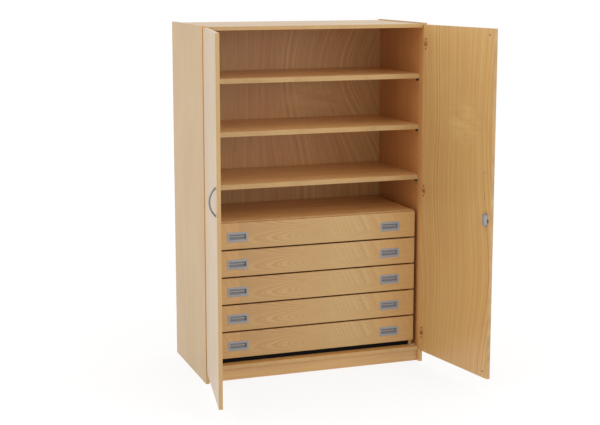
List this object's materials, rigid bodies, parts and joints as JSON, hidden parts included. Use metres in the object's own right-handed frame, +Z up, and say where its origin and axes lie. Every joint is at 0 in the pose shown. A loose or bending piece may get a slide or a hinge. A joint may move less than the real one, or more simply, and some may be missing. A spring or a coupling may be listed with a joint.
{
  "type": "storage cabinet",
  "caption": "Tall free-standing wooden storage cabinet with hinged doors, adjustable shelves above a stack of wide flat drawers with flush pulls, and a rim lock.",
  "frame": {"origin": "on the floor, midway between the sides, at the front edge of the carcase", "axes": "+X to the right seen from the front, +Y to the rear, +Z up"},
  "size_m": [1.4464, 1.1864, 1.805],
  "materials": {
    "left_side_panel": "beech decor, satin",
    "right_side_panel": "beech decor, satin",
    "top_panel": "beech decor, satin",
    "bottom_panel": "beech decor, satin",
    "plinth_board": "beech decor, satin",
    "back_panel": "beech decor, satin",
    "shelf": "beech decor, satin",
    "shelf_pins": "moulded black",
    "cam_caps": "moulded light grey",
    "drawer_unit_side": "beech decor, satin",
    "drawer_unit_top": "beech decor, satin",
    "drawer_unit_base_rail": "black powder coat",
    "runner_channels": "zinc plated",
    "hinge": "bronzed",
    "left_door_panel": "beech decor, satin",
    "door_handle": "satin grey",
    "right_door_panel": "beech decor, satin",
    "lock_case": "die-cast, satin grey",
    "lock_cylinder": "nickel plated",
    "lock_plug": "nickel plated",
    "lock_bolt": "bright zinc",
    "drawer_front": "beech decor, satin",
    "drawer_walls": "beech decor, satin",
    "drawer_tray": "beech decor, satin",
    "drawer_pulls": "satin grey",
    "drawer_slides": "zinc plated"
  },
  "bodies": {
    "carcase": {"left_side_panel": "left_side_panel", "right_side_panel": "right_side_panel", "top_panel": "top_panel", "bottom_panel": "bottom_panel", "plinth_board": "plinth_board", "back_panel": "back_panel", "shelf_upper": "shelf", "shelf_middle": "shelf", "shelf_lower": "shelf", "shelf_pins": "shelf_pins", "cam_caps": "cam_caps", "drawer_unit_left_side": "drawer_unit_side", "drawer_unit_right_side": "drawer_unit_side", "drawer_unit_top": "drawer_unit_top", "drawer_unit_base_rail": "drawer_unit_base_rail", "runner_channels": "runner_channels", "hinge_eyes": "hinge"},
    "left_door": {"left_door_panel": "left_door_panel", "left_door_handle": "door_handle", "left_hinge_cups": "hinge"},
    "right_door": {"right_door_panel": "right_door_panel", "right_door_handle": "door_handle", "right_hinge_cups": "hinge", "lock_case": "lock_case", "lock_cylinder": "lock_cylinder"},
    "lock_plug": {"lock_plug": "lock_plug"},
    "lock_bolt": {"lock_bolt": "lock_bolt"},
    "drawer_1": {"drawer_1_front": "drawer_front", "drawer_1_walls": "drawer_walls", "drawer_1_tray": "drawer_tray", "drawer_1_pulls": "drawer_pulls", "drawer_1_slides": "drawer_slides"},
    "drawer_2": {"drawer_2_front": "drawer_front", "drawer_2_walls": "drawer_walls", "drawer_2_tray": "drawer_tray", "drawer_2_pulls": "drawer_pulls", "drawer_2_slides": "drawer_slides"},
    "drawer_3": {"drawer_3_front": "drawer_front", "drawer_3_walls": "drawer_walls", "drawer_3_tray": "drawer_tray", "drawer_3_pulls": "drawer_pulls", "drawer_3_slides": "drawer_slides"},
    "drawer_4": {"drawer_4_front": "drawer_front", "drawer_4_walls": "drawer_walls", "drawer_4_tray": "drawer_tray", "drawer_4_pulls": "drawer_pulls", "drawer_4_slides": "drawer_slides"},
    "drawer_5": {"drawer_5_front": "drawer_front", "drawer_5_walls": "drawer_walls", "drawer_5_tray": "drawer_tray", "drawer_5_pulls": "drawer_pulls", "drawer_5_slides": "drawer_slides"}
  },
  "joints": [
    {"name": "left_door_hinge", "type": "hinge", "parent": "carcase", "child": "left_door", "pos_m": [-0.586, -0.0097, 0.9], "axis": [0, 0, -1], "range_deg": [-100, 10]},
    {"name": "right_door_hinge", "type": "hinge", "parent": "carcase", "child": "right_door", "pos_m": [0.586, -0.0097, 0.9], "axis": [0, 0, 1], "range_deg": [-100, 10]},
    {"name": "drawer_1_slide", "type": "slide", "parent": "carcase", "child": "drawer_1", "axis": [0, -1, 0], "range_m": [0, 0.4]},
    {"name": "drawer_2_slide", "type": "slide", "parent": "carcase", "child": "drawer_2", "axis": [0, -1, 0], "range_m": [0, 0.4]},
    {"name": "drawer_3_slide", "type": "slide", "parent": "carcase", "child": "drawer_3", "axis": [0, -1, 0], "range_m": [0, 0.4]},
    {"name": "drawer_4_slide", "type": "slide", "parent": "carcase", "child": "drawer_4", "axis": [0, -1, 0], "range_m": [0, 0.4]},
    {"name": "drawer_5_slide", "type": "slide", "parent": "carcase", "child": "drawer_5", "axis": [0, -1, 0], "range_m": [0, 0.4]},
    {"name": "lock_plug_turn", "type": "hinge", "parent": "right_door", "child": "lock_plug", "pos_m": [0.6926, -0.54919, 0.8805], "axis": [0.9848, 0.1736, 0], "range_deg": [0, 180]},
    {"name": "lock_bolt_slide", "type": "slide", "parent": "right_door", "child": "lock_bolt", "axis": [0.1736, -0.9848, 0], "range_m": [0, 0.026]}
  ],
  "couplings": [
    {"joint": "lock_plug_turn", "follows": "lock_bolt_slide", "rad_per_m": 120.8}
  ]
}
